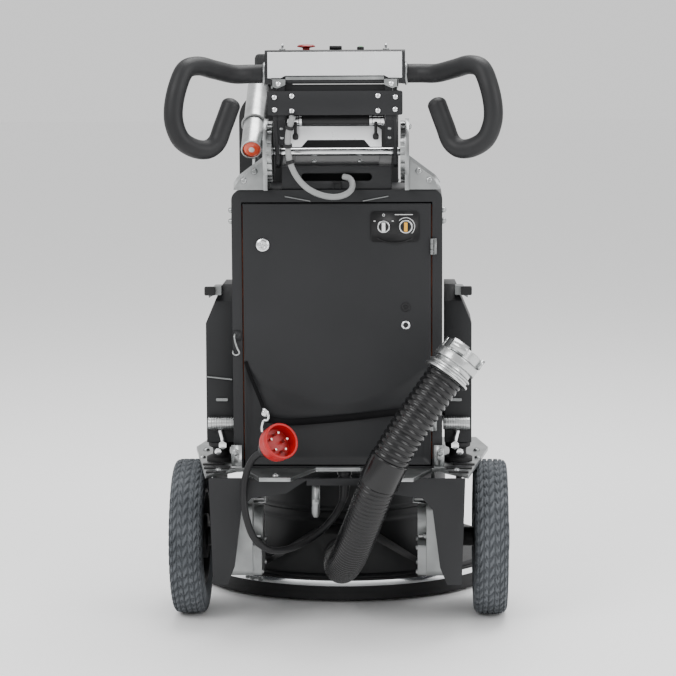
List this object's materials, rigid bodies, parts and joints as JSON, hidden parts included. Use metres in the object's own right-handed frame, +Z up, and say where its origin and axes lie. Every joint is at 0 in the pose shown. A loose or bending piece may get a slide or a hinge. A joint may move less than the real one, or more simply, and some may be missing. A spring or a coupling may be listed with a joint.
{
  "type": "concrete grinder",
  "caption": "Walk-behind electric planetary floor grinder with a tilting handlebar console, door-fronted cabinet, side weights, dust hose and a round skirted grinding head.",
  "frame": {"origin": "on the floor under the middle of the machine's box, without the free hose and cords", "axes": "+Z up, +Y towards the grinding head, +X to the operator's right"},
  "size_m": [0.7, 1.1148, 1.174],
  "materials": {
    "black_paint": "satin powder coat",
    "satin_black": "satin",
    "skirt_rubber": "matt",
    "grip_rubber": "matt",
    "zinc": "zinc plated",
    "chrome": "polished",
    "cast_aluminium": "as cast",
    "grey_tyre": "non-marking rubber",
    "white_sheet": "light powder coat",
    "red_plastic": "gloss",
    "yellow_plastic": "gloss",
    "grey_cable": "matt",
    "black_cable": "matt",
    "hose_plastic": "gloss"
  },
  "bodies": {
    "chassis": {"base_plate": "zinc", "rear_apron": "black_paint", "drive_left": "cast_aluminium", "drive_right": "cast_aluminium", "tower_shell": "black_paint", "inverter": "cast_aluminium", "hinge_upper": "chrome", "hinge_lower": "chrome", "top_bracket": "black_paint", "quadrant_left": "zinc", "quadrant_right": "zinc", "tank": "satin_black", "signal_lamp": "chrome", "weight_axle": "chrome", "buffer_left": "skirt_rubber", "buffer_right": "skirt_rubber", "cord_gland": "satin_black", "dust_hose": "hose_plastic", "hose_coupling": "cast_aluminium", "power_cord": "black_cable", "power_plug": "red_plastic", "console_cord": "grey_cable"},
    "left_wheel": {"rim_left": "black_paint", "tyre_left": "grey_tyre"},
    "right_wheel": {"rim_right": "black_paint", "tyre_right": "grey_tyre"},
    "cabinet_door": {"door": "black_paint", "switch_plate": "satin_black"},
    "door_lock": {"cam_lock": "chrome"},
    "mode_switch": {"mode_knob": "chrome"},
    "speed_switch": {"speed_knob": "yellow_plastic"},
    "handle": {"arm_left": "black_paint", "arm_right": "black_paint", "pivot_shaft": "chrome", "cross_plate": "black_paint", "console_shell": "black_paint", "grip_left": "grip_rubber", "grip_right": "grip_rubber"},
    "handle_release": {"release_bar": "satin_black", "release_plate": "white_sheet"},
    "left_toggle": {"toggle_left": "chrome"},
    "stop": {"stop_button": "red_plastic"},
    "dial": {"speed_dial": "satin_black"},
    "start": {"start_button": "satin_black"},
    "right_toggle": {"toggle_right": "chrome"},
    "filler_cap": {"tank_cap": "satin_black"},
    "left_weight": {"weight_left": "black_paint"},
    "right_weight": {"weight_right": "black_paint"},
    "head": {"head_cover": "black_paint", "head_drum": "black_paint", "skirt": "skirt_rubber", "clamp_band": "chrome", "head_motor": "cast_aluminium", "dust_outlet": "satin_black"},
    "carrier": {"planet_carrier": "cast_aluminium"},
    "planet_1": {"satellite_1": "cast_aluminium"},
    "planet_2": {"satellite_2": "cast_aluminium"},
    "planet_3": {"satellite_3": "cast_aluminium"}
  },
  "joints": [
    {"name": "left_wheel_spin", "type": "hinge", "parent": "chassis", "child": "left_wheel", "pos_m": [-0.31, -0.22, 0.16], "axis": [1, 0, 0], "continuous": true},
    {"name": "right_wheel_spin", "type": "hinge", "parent": "chassis", "child": "right_wheel", "pos_m": [0.31, -0.22, 0.16], "axis": [1, 0, 0], "continuous": true},
    {"name": "door_swing", "type": "hinge", "parent": "chassis", "child": "cabinet_door", "pos_m": [0.189, -0.3655, 0.5975], "axis": [0, 0, 1], "range_deg": [0, 90], "deforming": ["dust_hose", "hose_coupling", "power_cord", "power_plug"]},
    {"name": "lock_turn", "type": "hinge", "parent": "cabinet_door", "child": "door_lock", "pos_m": [-0.1475, -0.361, 0.779], "axis": [0, 1, 0], "range_deg": [0, 90]},
    {"name": "mode_turn", "type": "hinge", "parent": "cabinet_door", "child": "mode_switch", "pos_m": [0.0935, -0.361, 0.815], "axis": [0, 1, 0], "range_deg": [-45, 45]},
    {"name": "speed_turn", "type": "hinge", "parent": "cabinet_door", "child": "speed_switch", "pos_m": [0.1375, -0.361, 0.815], "axis": [0, 1, 0], "range_deg": [-135, 135]},
    {"name": "handle_tilt", "type": "hinge", "parent": "chassis", "child": "handle", "pos_m": [0, -0.33, 0.962], "axis": [1, 0, 0], "range_deg": [-15, 50], "deforming": ["console_cord"]},
    {"name": "release_lift", "type": "slide", "parent": "handle", "child": "handle_release", "axis": [0, 0, 1], "range_m": [0, 0.016], "stiffness_N_per_m": 600, "springref_m": -0.01},
    {"name": "left_toggle_tilt", "type": "hinge", "parent": "handle", "child": "left_toggle", "pos_m": [-0.105, -0.367, 1.164], "axis": [1, 0, 0], "range_deg": [-15, 15]},
    {"name": "right_toggle_tilt", "type": "hinge", "parent": "handle", "child": "right_toggle", "pos_m": [0.099, -0.367, 1.164], "axis": [1, 0, 0], "range_deg": [-15, 15]},
    {"name": "stop_press", "type": "slide", "parent": "handle", "child": "stop", "axis": [0, 0, -1], "range_m": [0, 0.004], "stiffness_N_per_m": 600, "springref_m": -0.002},
    {"name": "start_press", "type": "slide", "parent": "handle", "child": "start", "axis": [0, 0, -1], "range_m": [0, 0.004], "stiffness_N_per_m": 400, "springref_m": -0.002},
    {"name": "dial_turn", "type": "hinge", "parent": "handle", "child": "dial", "pos_m": [0, -0.367, 1.164], "axis": [0, 0, 1], "range_deg": [-135, 135]},
    {"name": "cap_turn", "type": "hinge", "parent": "chassis", "child": "filler_cap", "pos_m": [-0.142, -0.0425, 1.12], "axis": [0, 0, 1], "range_deg": [0, 270]},
    {"name": "left_weight_swing", "type": "hinge", "parent": "chassis", "child": "left_weight", "pos_m": [-0.24, -0.18, 0.408], "axis": [1, 0, 0], "range_deg": [-90, 0]},
    {"name": "right_weight_swing", "type": "hinge", "parent": "chassis", "child": "right_weight", "pos_m": [0.24, -0.18, 0.408], "axis": [1, 0, 0], "range_deg": [-90, 0]},
    {"name": "head_tilt", "type": "hinge", "parent": "chassis", "child": "head", "pos_m": [0, -0.11, 0.23], "axis": [1, 0, 0], "range_deg": [0, 6]},
    {"name": "carrier_spin", "type": "hinge", "parent": "head", "child": "carrier", "pos_m": [0, 0.2, 0.1], "axis": [0, 0, 1], "continuous": true},
    {"name": "planet_1_spin", "type": "hinge", "parent": "carrier", "child": "planet_1", "pos_m": [0, 0.378, 0.05], "axis": [0, 0, 1], "continuous": true},
    {"name": "planet_2_spin", "type": "hinge", "parent": "carrier", "child": "planet_2", "pos_m": [-0.15415, 0.111, 0.05], "axis": [0, 0, 1], "continuous": true},
    {"name": "planet_3_spin", "type": "hinge", "parent": "carrier", "child": "planet_3", "pos_m": [0.15415, 0.111, 0.05], "axis": [0, 0, 1], "continuous": true}
  ],
  "couplings": [
    {"joint": "planet_1_spin", "follows": "carrier_spin", "ratio": -3},
    {"joint": "planet_2_spin", "follows": "carrier_spin", "ratio": -3},
    {"joint": "planet_3_spin", "follows": "carrier_spin", "ratio": -3}
  ]
}
